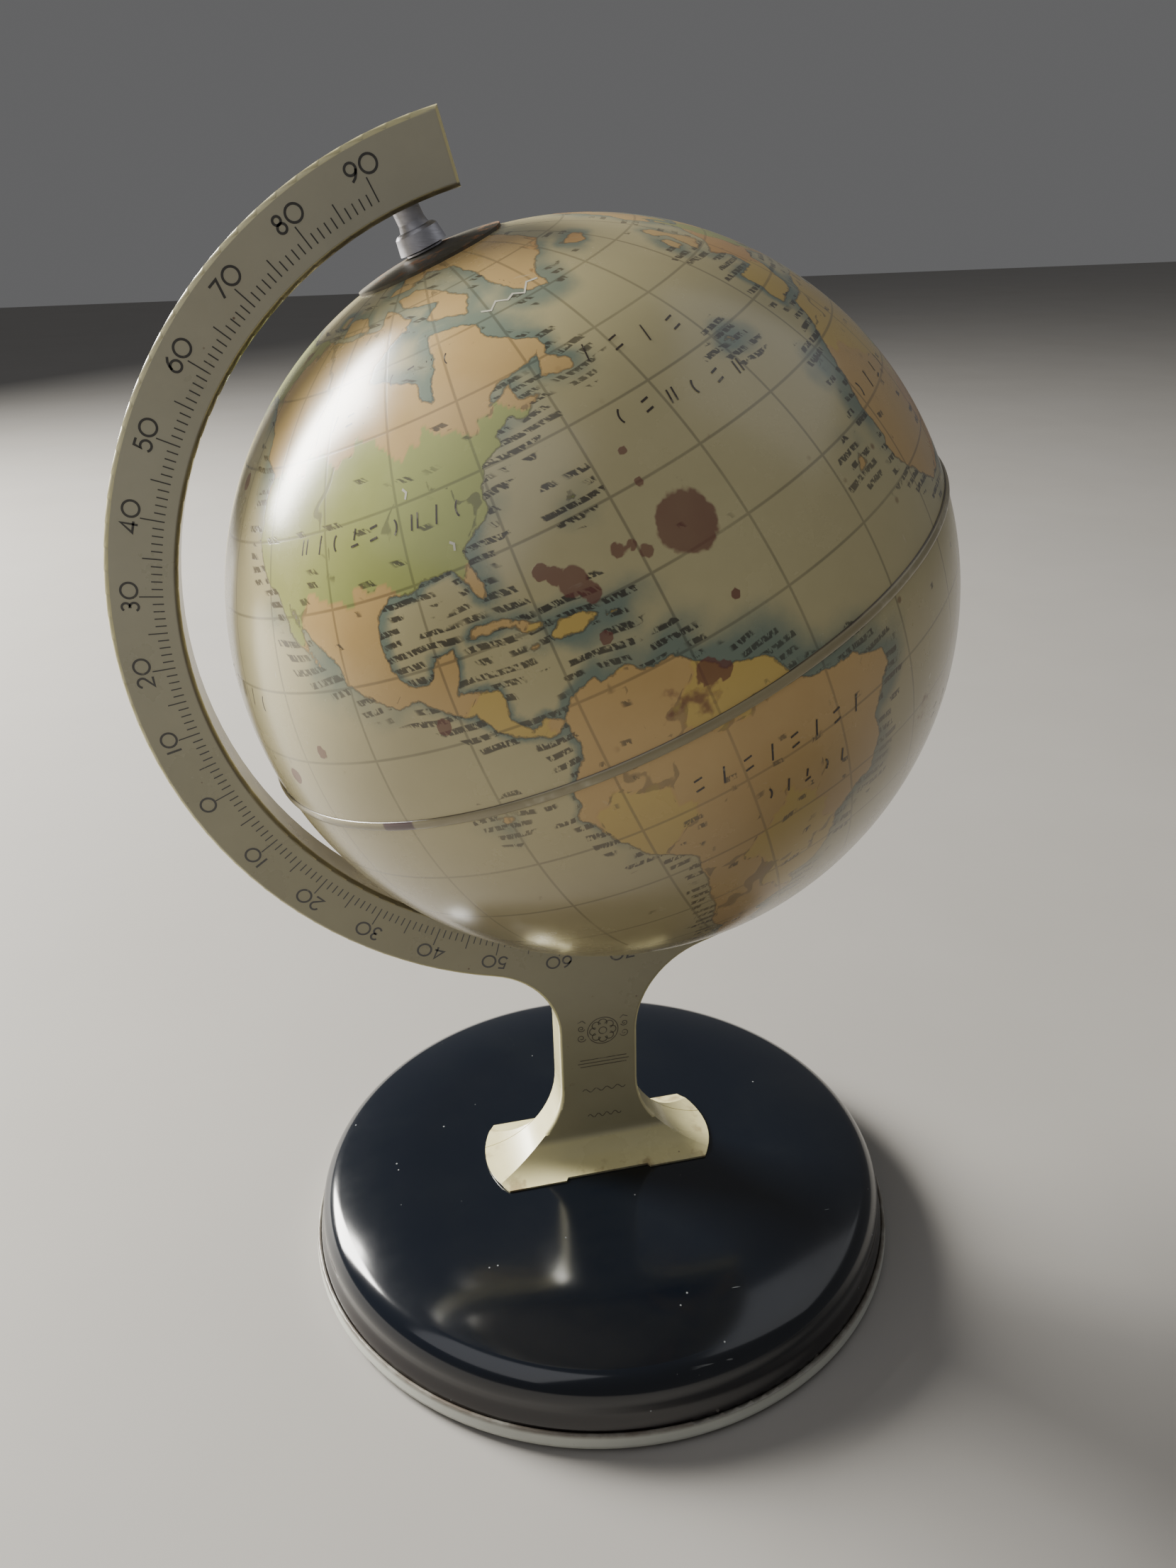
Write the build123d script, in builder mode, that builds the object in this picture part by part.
from build123d import *
import math
import os

os.makedirs("parts", exist_ok=True)

# Desk globe on a pressed tin stand. Millimetres, +Z up, the printed face looks towards -Y.
# The origin is the centre of the base's flat underside.

# globe
globe_radius = 76.0
globe_sheet = 0.5
globe_x = 1.5
globe_z = 169.4
axis_tilt = 23.45
bead_half_width = 1.3
bead_height = 0.65
lap_height = 1.0

# stand arm, a ring centred a little above the globe because the globe hangs low on its axle
arm_x = -1.7
arm_z = 171.7
arm_inner_radius = 81.05
arm_outer_radius = 94.75
arm_top_end = 14.5
arm_bottom_end = 212.5
stand_half_depth = 4.4
stand_sheet = 0.5
bend_radius = 0.9

# stem and foot
stem_x = -0.4
stem_half_width = 9.9
left_neck_fillet = 20.0
right_neck_fillet = 24.0
side_flare = 22.0
face_flare = 8.35
foot_half_width = 29.8
foot_half_depth = 12.75
foot_end_radius = 22.3
tab_half_width = 10.5
tab_setback = 1.0
tab_reach = 5.0

# base
base_height = 21.0
base_sheet = 0.6
dome_start_radius = 46.0
dome_radius = 80.0
dome_angle = 16.0
shoulder_radius = 7.0
skirt_radius = 74.3
skirt_bottom = 1.0
rim_radius = 75.6
rim_corner = 2.4
plate_sheet = 0.5
hem_radius = 0.5
hem_height = 4.75

# axle and pivots
axle_radius = 1.5
running_gap = 0.05
axial_gap = 0.3
disc_radius = 14.7
disc_sheet = 0.6
eyelet_tube_radius = 2.1
eyelet_flange_radius = 3.6
eyelet_flange = 0.3
bush_neck_radius = 2.6
bush_top_radius = 4.2
bush_bottom_radius = 4.7
bush_shoulder = 80.6
clip_radius = 3.5
clip_thickness = 0.8
neck_past_wall = 0.8

tilt = math.radians(axis_tilt)
axis_x = -math.sin(tilt)
axis_z = math.cos(tilt)

# how far the arm's inner edge is from the globe's centre along the axis, towards each pole
offset_along = (globe_x - arm_x) * axis_x + (globe_z - arm_z) * axis_z
offset_across = (globe_x - arm_x) * axis_z - (globe_z - arm_z) * axis_x
reach = math.sqrt(arm_inner_radius**2 - offset_across**2)
north_wall = reach - offset_along
south_wall = reach + offset_along


def globe_frame():
    return Plane(
        origin=(globe_x, 0, globe_z),
        x_dir=(axis_z, 0, -axis_x),
        z_dir=(axis_x, 0, axis_z),
    )


def south_frame():
    return Plane(
        origin=(globe_x, 0, globe_z),
        x_dir=(-axis_z, 0, axis_x),
        z_dir=(-axis_x, 0, -axis_z),
    )


def section(frame):
    return Plane(origin=frame.origin, x_dir=frame.x_dir, z_dir=-frame.y_dir)


def arm_point(radius, angle):
    # angle runs from straight up, round the left side of the arm
    turn = math.radians(angle)
    return (arm_x - radius * math.sin(turn), arm_z + radius * math.cos(turn))


def flare_start(side):
    return stem_x + side * stem_half_width


def neck_centre(side, fillet):
    x = flare_start(side) + side * fillet
    drop = math.sqrt((arm_outer_radius + fillet) ** 2 - (x - arm_x) ** 2)
    return (x, arm_z - drop)


def middle_of_arc(centre, radius, first, last):
    x = (first[0] + last[0]) / 2 - centre[0]
    z = (first[1] + last[1]) / 2 - centre[1]
    size = math.hypot(x, z)
    return (centre[0] + x / size * radius, centre[1] + z / size * radius)


def add_arc(centre, radius, first, last):
    ThreePointArc(first, middle_of_arc(centre, radius, first, last), last)


# ---- outline of the whole stand seen from the front, drawn in X and Z ----
def stand_outline(inset):
    outer = arm_outer_radius - inset
    inner = arm_inner_radius + inset
    end_turn = math.degrees(inset / ((inner + outer) / 2))
    first_end = arm_top_end + end_turn
    last_end = arm_bottom_end - end_turn
    flange_top = base_height + stand_sheet - inset
    floor = base_height - 10
    far = 45.0
    with BuildSketch() as outline:
        with BuildLine():
            top_out = arm_point(outer, first_end)
            top_in = arm_point(inner, first_end)
            low_out = arm_point(outer, last_end)
            low_in = arm_point(inner, last_end)
            left_fillet = left_neck_fillet + inset
            right_fillet = right_neck_fillet + inset
            left_centre = neck_centre(-1, left_neck_fillet)
            right_centre = neck_centre(1, right_neck_fillet)
            left_share = outer / (outer + left_fillet)
            right_share = outer / (outer + right_fillet)
            left_touch = (
                arm_x + (left_centre[0] - arm_x) * left_share,
                arm_z + (left_centre[1] - arm_z) * left_share,
            )
            right_touch = (
                arm_x + (right_centre[0] - arm_x) * right_share,
                arm_z + (right_centre[1] - arm_z) * right_share,
            )
            left_side = stem_x - stem_half_width + inset
            right_side = stem_x + stem_half_width - inset
            flare = side_flare + inset
            flare_top = base_height + stand_sheet + side_flare
            left_flare = (left_side - flare, flare_top)
            right_flare = (right_side + flare, flare_top)
            # inner edge of the arm
            mid = (first_end + last_end) / 2
            ThreePointArc(top_in, arm_point(inner, mid), low_in)
            Line(low_in, low_out)
            # outer edge from the lower end to the right-hand fillet
            right_angle = math.degrees(math.atan2(arm_x - right_touch[0], right_touch[1] - arm_z))
            right_mid = (last_end + right_angle % 360) / 2
            ThreePointArc(low_out, arm_point(outer, right_mid), right_touch)
            right_line = (right_side, right_centre[1])
            add_arc(right_centre, right_fillet, right_touch, right_line)
            Line(right_line, (right_side, flare_top))
            add_arc(right_flare, flare, (right_side, flare_top), (right_side + flare, flange_top))
            Polyline(
                (right_side + flare, flange_top),
                (far, flange_top),
                (far, floor),
                (-far, floor),
                (-far, flange_top),
                (left_side - flare, flange_top),
            )
            add_arc(left_flare, flare, (left_side - flare, flange_top), (left_side, flare_top))
            left_line = (left_side, left_centre[1])
            Line((left_side, flare_top), left_line)
            add_arc(left_centre, left_fillet, left_line, left_touch)
            # outer edge from the left-hand fillet up to the top end
            left_angle = math.degrees(math.atan2(arm_x - left_touch[0], left_touch[1] - arm_z))
            left_mid = (left_angle % 360 + first_end) / 2
            ThreePointArc(left_touch, arm_point(outer, left_mid), top_out)
            Line(top_out, top_in)
        make_face()
    return outline.sketch_local


# ---- outline of the stand seen from the side, drawn in Y and Z ----
def side_outline(inset, open_back):
    half = stand_half_depth - inset
    flare = face_flare + inset
    flare_top = base_height + stand_sheet + face_flare
    flange_top = base_height + stand_sheet - inset
    floor = base_height - 10
    far = 30.0
    high = 300.0
    with BuildSketch() as outline:
        with BuildLine():
            front = (-half - flare, flare_top)
            Polyline((-far, floor), (-far, flange_top), (-half - flare, flange_top))
            add_arc(front, flare, (-half - flare, flange_top), (-half, flare_top))
            if open_back:
                Polyline((-half, flare_top), (-half, high), (far, high), (far, floor), (-far, floor))
            else:
                back = (half + flare, flare_top)
                Polyline((-half, flare_top), (-half, high), (half, high), (half, flare_top))
                add_arc(back, flare, (half, flare_top), (half + flare, flange_top))
                Polyline((half + flare, flange_top), (far, flange_top), (far, floor), (-far, floor))
        make_face()
    return outline.sketch_local


# ---- outline of the foot seen from above: straight front and back, round ends ----
def foot_outline():
    with BuildSketch() as outline:
        with BuildLine():
            reach_in = math.sqrt(foot_end_radius**2 - foot_half_depth**2)
            end_centre = foot_half_width - foot_end_radius
            corner = end_centre + reach_in
            notch = foot_half_depth - tab_setback
            slope = 0.6
            for side in (-1, 1):
                ThreePointArc(
                    (stem_x + side * corner, -foot_half_depth),
                    (stem_x + side * foot_half_width, 0),
                    (stem_x + side * corner, foot_half_depth),
                )
                Polyline(
                    (stem_x + corner, side * foot_half_depth),
                    (stem_x + tab_half_width + slope, side * foot_half_depth),
                    (stem_x + tab_half_width, side * notch),
                    (stem_x - tab_half_width, side * notch),
                    (stem_x - tab_half_width - slope, side * foot_half_depth),
                    (stem_x - corner, side * foot_half_depth),
                )
        make_face()
    return outline.sketch_local


def tab(side):
    # the strip between the notches, bent down through the base and folded in under it
    edge = foot_half_depth - tab_setback
    under = base_height - base_sheet
    with BuildPart() as strip:
        with BuildSketch(Plane.YZ.offset(stem_x)):
            with BuildLine():
                Polyline(
                    (side * edge, base_height + stand_sheet),
                    (side * edge, under - stand_sheet),
                    (side * (edge - tab_reach), under - stand_sheet),
                    (side * (edge - tab_reach), under),
                    (side * (edge - stand_sheet), under),
                    (side * (edge - stand_sheet), base_height + stand_sheet),
                    close=True,
                )
            make_face()
        extrude(amount=tab_half_width - 0.4, both=True)
    return strip.part


pivot_hole = bush_neck_radius + running_gap

# ---- cutters for the stand: round the foot, under the foot, and the two pivot holes ----
with BuildPart() as around_foot:
    with BuildSketch(Plane.XY.offset(base_height)):
        Rectangle(140, 90)
        add(foot_outline(), mode=Mode.SUBTRACT)
    extrude(amount=4)

with BuildPart() as below_foot:
    with BuildSketch(Plane.XY.offset(base_height)):
        Rectangle(140, 90)
    extrude(amount=-20)

with BuildPart() as pivot_drill:
    with BuildSketch(globe_frame().offset(-south_wall - 3)):
        Circle(pivot_hole)
    extrude(amount=south_wall + north_wall + 6)


def stand_body(inset, open_back, low):
    # the stand as a solid: its front outline crossed with its side outline
    with BuildPart() as body:
        with BuildSketch(Plane.XZ):
            add(stand_outline(inset))
        extrude(amount=30, both=True)
        with BuildSketch(Plane.YZ):
            add(side_outline(low, open_back))
        extrude(amount=120, both=True, mode=Mode.INTERSECT)
    return body.part


# ---- stand, front shell: printed face, side walls and the front of the foot ----
flare_height = base_height + stand_sheet + face_flare
with BuildPart() as foot_solid:
    add(stand_body(0, False, 0))
    with Locations((0, 0, flare_height + 150)):
        Box(300, 90, 300, mode=Mode.SUBTRACT)

with BuildPart() as stand_front_shell:
    with BuildSketch(Plane.XZ):
        add(stand_outline(0))
    extrude(amount=stand_half_depth, both=True)
    printed_face = stand_front_shell.faces().sort_by(Axis.Y)[0]
    bends = [edge for edge in printed_face.edges() if edge.center().Z > base_height + 1]
    fillet(bends, bend_radius)
    add(foot_solid.part)
    add(around_foot.part, mode=Mode.SUBTRACT)
    add(below_foot.part, mode=Mode.SUBTRACT)
    add(stand_body(stand_sheet, True, stand_sheet), mode=Mode.SUBTRACT)
    with Locations((0, stand_half_depth + 20, 150)):
        Box(300, 40, 400, mode=Mode.SUBTRACT)
    add(pivot_drill.part, mode=Mode.SUBTRACT)
    add(tab(-1))
stand_front_shell.part.label = "stand_front_shell"
export_step(stand_front_shell.part, "parts/stand_front_shell.step")

# ---- stand, rear shell: a cover nested inside the front shell, and the back of the foot ----
rear_gap = 0.2
nested_bottom = base_height + 5
with BuildPart() as nested_cover:
    add(stand_body(stand_sheet, False, 0))
    add(stand_body(2 * stand_sheet, False, stand_sheet), mode=Mode.SUBTRACT)
    with Locations((0, -20, 150)):
        Box(300, 40, 400, mode=Mode.SUBTRACT)
    with Locations((0, 0, nested_bottom - 20)):
        Box(300, 90, 40, mode=Mode.SUBTRACT)

with BuildPart() as stand_rear_shell:
    add(stand_body(0, False, 0))
    add(around_foot.part, mode=Mode.SUBTRACT)
    add(below_foot.part, mode=Mode.SUBTRACT)
    add(stand_body(stand_sheet, False, stand_sheet), mode=Mode.SUBTRACT)
    with Locations((0, stand_half_depth + rear_gap - 20, 150)):
        Box(300, 40, 400, mode=Mode.SUBTRACT)
    add(nested_cover.part)
    add(pivot_drill.part, mode=Mode.SUBTRACT)
    add(tab(1))
stand_rear_shell.part.label = "stand_rear_shell"
export_step(stand_rear_shell.part, "parts/stand_rear_shell.step")

# ---- base drum: flat top, domed shoulder, wall and a skirt that stands in the rim ----
dome_end_x = dome_start_radius + dome_radius * math.sin(math.radians(dome_angle))
dome_end_z = base_height - dome_radius * (1 - math.cos(math.radians(dome_angle)))
shoulder_x = dome_end_x - shoulder_radius * math.sin(math.radians(dome_angle))
shoulder_z = dome_end_z - shoulder_radius * math.cos(math.radians(dome_angle))
wall_radius = shoulder_x + shoulder_radius
cove_top = 9.6
cove_bottom = 5.2


def drum_outline(inset):
    top = base_height - inset
    dome = dome_radius - inset
    shoulder = shoulder_radius - inset
    half = math.radians(dome_angle / 2)
    full = math.radians(dome_angle)
    steep = math.radians((90 + dome_angle) / 2)
    low = base_height - dome_radius
    with BuildLine() as line:
        Line((0, top), (dome_start_radius, top))
        ThreePointArc(
            (dome_start_radius, top),
            (dome_start_radius + dome * math.sin(half), low + dome * math.cos(half)),
            (dome_start_radius + dome * math.sin(full), low + dome * math.cos(full)),
        )
        ThreePointArc(
            (dome_start_radius + dome * math.sin(full), low + dome * math.cos(full)),
            (shoulder_x + shoulder * math.sin(steep), shoulder_z + shoulder * math.cos(steep)),
            (wall_radius - inset, shoulder_z),
        )
        Line((wall_radius - inset, shoulder_z), (wall_radius - inset, cove_top))
        Spline(
            (wall_radius - inset, cove_top),
            (skirt_radius - inset, cove_bottom),
            tangents=((0, -1), (0.12, -1)),
        )
        Line((skirt_radius - inset, cove_bottom), (skirt_radius - inset, skirt_bottom))
    return line.line


with BuildPart() as base_drum:
    with BuildSketch(Plane.XZ):
        with BuildLine():
            add(drum_outline(0))
            add(drum_outline(base_sheet))
            Line((0, base_height), (0, base_height - base_sheet))
            Line((skirt_radius, skirt_bottom), (skirt_radius - base_sheet, skirt_bottom))
        make_face()
    revolve(axis=Axis.Z)
    slot_middle = foot_half_depth - tab_setback - stand_sheet / 2
    with BuildSketch(Plane.XY.offset(base_height + 1)):
        with Locations((stem_x, slot_middle), (stem_x, -slot_middle)):
            Rectangle(2 * tab_half_width, stand_sheet + 0.5)
    extrude(amount=-4, mode=Mode.SUBTRACT)
base_drum.part.label = "base_drum"
export_step(base_drum.part, "parts/base_drum.step")

# ---- base plate: flat bottom, edge turned up into the pale rim and hemmed onto the drum ----
hem_x = skirt_radius + hem_radius
corner_x = rim_radius - rim_corner
inner_corner = rim_corner - plate_sheet
with BuildPart() as base_plate:
    with BuildSketch(Plane.XZ):
        with BuildLine():
            Line((0, 0), (corner_x, 0))
            ThreePointArc(
                (corner_x, 0),
                (corner_x + rim_corner * math.sin(math.pi / 4), rim_corner * (1 - math.cos(math.pi / 4))),
                (rim_radius, rim_corner),
            )
            Line((rim_radius, rim_corner), (hem_x + hem_radius, hem_height))
            ThreePointArc(
                (hem_x + hem_radius, hem_height),
                (hem_x, hem_height + hem_radius),
                (hem_x - hem_radius, hem_height),
            )
            Line((hem_x - hem_radius, hem_height), (hem_x - 0.1, hem_height - hem_radius))
            Line((hem_x - 0.1, hem_height - hem_radius), (rim_radius - plate_sheet, rim_corner))
            ThreePointArc(
                (rim_radius - plate_sheet, rim_corner),
                (
                    corner_x + inner_corner * math.sin(math.pi / 4),
                    rim_corner - inner_corner * math.cos(math.pi / 4),
                ),
                (corner_x, plate_sheet),
            )
            Line((corner_x, plate_sheet), (0, plate_sheet))
            Line((0, plate_sheet), (0, 0))
        make_face()
    revolve(axis=Axis.Z)
base_plate.part.label = "base_plate"
export_step(base_plate.part, "parts/base_plate.step")


# ---- globe: two pressed halves, the upper one beaded over the lower one's lap ----
def on_ball(radius, height):
    return (math.sqrt(radius**2 - height**2), height)


def ball_arc(radius, first_height, last_radius):
    first = on_ball(radius, first_height)
    last = (last_radius, math.copysign(math.sqrt(radius**2 - last_radius**2), first_height or 1))
    return first, middle_of_arc((0, 0), radius, first, last), last


inner_radius = globe_radius - globe_sheet
lap_radius = globe_radius + bead_height - globe_sheet
with BuildPart() as globe_north_half:
    with BuildSketch(section(globe_frame())):
        with BuildLine():
            outer = ball_arc(globe_radius, bead_half_width, eyelet_tube_radius)
            inner = ball_arc(inner_radius, bead_half_width + 0.4, eyelet_tube_radius)
            ThreePointArc(*outer)
            Line(outer[2], inner[2])
            ThreePointArc(*inner)
            Line(inner[0], (lap_radius, lap_height))
            Line((lap_radius, lap_height), (lap_radius, -bead_half_width))
            Line((lap_radius, -bead_half_width), (globe_radius + 0.2, -bead_half_width))
            ThreePointArc(
                (globe_radius + 0.2, -bead_half_width),
                (globe_radius + bead_height, 0),
                outer[0],
            )
        make_face()
    revolve(axis=Axis(globe_frame().origin, globe_frame().z_dir))
globe_north_half.part.label = "globe_north_half"
export_step(globe_north_half.part, "parts/globe_north_half.step")

with BuildPart() as globe_south_half:
    with BuildSketch(section(south_frame())):
        with BuildLine():
            outer = ball_arc(globe_radius, bead_half_width + 0.15, eyelet_tube_radius)
            inner = ball_arc(inner_radius, bead_half_width + 0.15, eyelet_tube_radius)
            ThreePointArc(*outer)
            Line(outer[2], inner[2])
            ThreePointArc(*inner)
            Polyline(
                inner[0],
                (lap_radius - globe_sheet, -lap_height + 0.1),
                (lap_radius, -lap_height + 0.1),
                (lap_radius, bead_half_width + 0.15),
                outer[0],
            )
        make_face()
    revolve(axis=Axis(south_frame().origin, south_frame().z_dir))
globe_south_half.part.label = "globe_south_half"
export_step(globe_south_half.part, "parts/globe_south_half.step")


# ---- pole discs, and the eyelets that hold them on and run on the axle ----
def pole_disc(frame):
    upper = globe_radius + disc_sheet
    rim = math.sqrt(globe_radius**2 - disc_radius**2)
    upper_rim = math.sqrt(upper**2 - disc_radius**2)
    with BuildPart() as disc:
        with BuildSketch(section(frame)):
            with BuildLine():
                low = ball_arc(globe_radius, rim, eyelet_tube_radius)
                high = ball_arc(upper, upper_rim, eyelet_tube_radius)
                ThreePointArc(*low)
                Line(low[2], high[2])
                ThreePointArc(*high)
                Line(high[0], low[0])
            make_face()
        revolve(axis=Axis(frame.origin, frame.z_dir))
    return disc.part


def eyelet(frame):
    seat = globe_radius + disc_sheet
    under = globe_radius - globe_sheet
    bore = axle_radius + running_gap
    with BuildPart() as piece:
        with BuildSketch(section(frame)):
            with BuildLine():
                Polyline(
                    (bore, under - 2.2),
                    (bore, seat + eyelet_flange),
                    (eyelet_flange_radius, seat + eyelet_flange),
                    (eyelet_flange_radius, seat),
                    (eyelet_tube_radius, seat),
                    (eyelet_tube_radius, under - 0.12),
                    (eyelet_flange_radius - 0.6, under - 0.12),
                    (eyelet_flange_radius - 0.6, under - 0.42),
                    (eyelet_tube_radius, under - 0.42),
                    (eyelet_tube_radius, under - 2.2),
                    close=True,
                )
            make_face()
        revolve(axis=Axis(frame.origin, frame.z_dir))
    return piece.part


with BuildPart() as north_pole_disc:
    add(pole_disc(globe_frame()))
north_pole_disc.part.label = "north_pole_disc"
export_step(north_pole_disc.part, "parts/north_pole_disc.step")

with BuildPart() as south_pole_disc:
    add(pole_disc(south_frame()))
south_pole_disc.part.label = "south_pole_disc"
export_step(south_pole_disc.part, "parts/south_pole_disc.step")

with BuildPart() as north_eyelet:
    add(eyelet(globe_frame()))
north_eyelet.part.label = "north_eyelet"
export_step(north_eyelet.part, "parts/north_eyelet.step")

with BuildPart() as south_eyelet:
    add(eyelet(south_frame()))
south_eyelet.part.label = "south_eyelet"
export_step(south_eyelet.part, "parts/south_eyelet.step")

# ---- pivots: stepped bushes in the arm, the axle through them, and clips inside the arm ----
seat = globe_radius + disc_sheet + eyelet_flange + axial_gap
north_neck_end = north_wall + 2 * stand_sheet + neck_past_wall
south_neck_end = south_wall + 2 * stand_sheet + neck_past_wall

with BuildPart() as north_bush:
    with BuildSketch(section(globe_frame())):
        with BuildLine():
            Polyline(
                (axle_radius, seat),
                (bush_bottom_radius, seat),
                (bush_top_radius, bush_shoulder - 0.5),
                (bush_top_radius - 0.5, bush_shoulder),
                (bush_neck_radius + 0.3, bush_shoulder + 0.2),
                (bush_neck_radius, bush_shoulder + 1.4),
                (bush_neck_radius, north_neck_end),
                (axle_radius, north_neck_end),
                close=True,
            )
        make_face()
    revolve(axis=Axis(globe_frame().origin, globe_frame().z_dir))
north_bush.part.label = "north_bush"
export_step(north_bush.part, "parts/north_bush.step")

with BuildPart() as south_bush:
    with BuildSketch(south_frame().offset(seat)):
        Circle(bush_top_radius - 0.4)
    extrude(amount=2)
    with BuildSketch(Plane.XZ):
        with Locations((arm_x, arm_z)):
            Circle(arm_inner_radius - 0.02)
    extrude(amount=20, both=True, mode=Mode.INTERSECT)
    with BuildSketch(south_frame().offset(seat)):
        Circle(bush_neck_radius)
    extrude(amount=south_neck_end - seat)
    with BuildSketch(south_frame().offset(seat - 1)):
        Circle(axle_radius)
    extrude(amount=south_neck_end - seat + 2, mode=Mode.SUBTRACT)
south_bush.part.label = "south_bush"
export_step(south_bush.part, "parts/south_bush.step")

with BuildPart() as axle:
    with BuildSketch(globe_frame().offset(-south_neck_end - clip_thickness - 0.6)):
        Circle(axle_radius)
    extrude(amount=south_neck_end + north_neck_end + 2 * clip_thickness + 1.2)
    chamfer(axle.edges(), 0.3)
axle.part.label = "axle"
export_step(axle.part, "parts/axle.step")


def clip(frame, start):
    # push-on retaining clip with six cut-outs round its bore
    with BuildPart() as piece:
        with BuildSketch(frame.offset(start)):
            Circle(clip_radius)
            Circle(axle_radius, mode=Mode.SUBTRACT)
            with PolarLocations(axle_radius + 0.35, 6, start_angle=30):
                Rectangle(0.9, 0.35, mode=Mode.SUBTRACT)
        extrude(amount=clip_thickness)
    return piece.part


with BuildPart() as north_clip:
    add(clip(globe_frame(), north_neck_end))
north_clip.part.label = "north_clip"
export_step(north_clip.part, "parts/north_clip.step")

with BuildPart() as south_clip:
    add(clip(south_frame(), south_neck_end))
south_clip.part.label = "south_clip"
export_step(south_clip.part, "parts/south_clip.step")
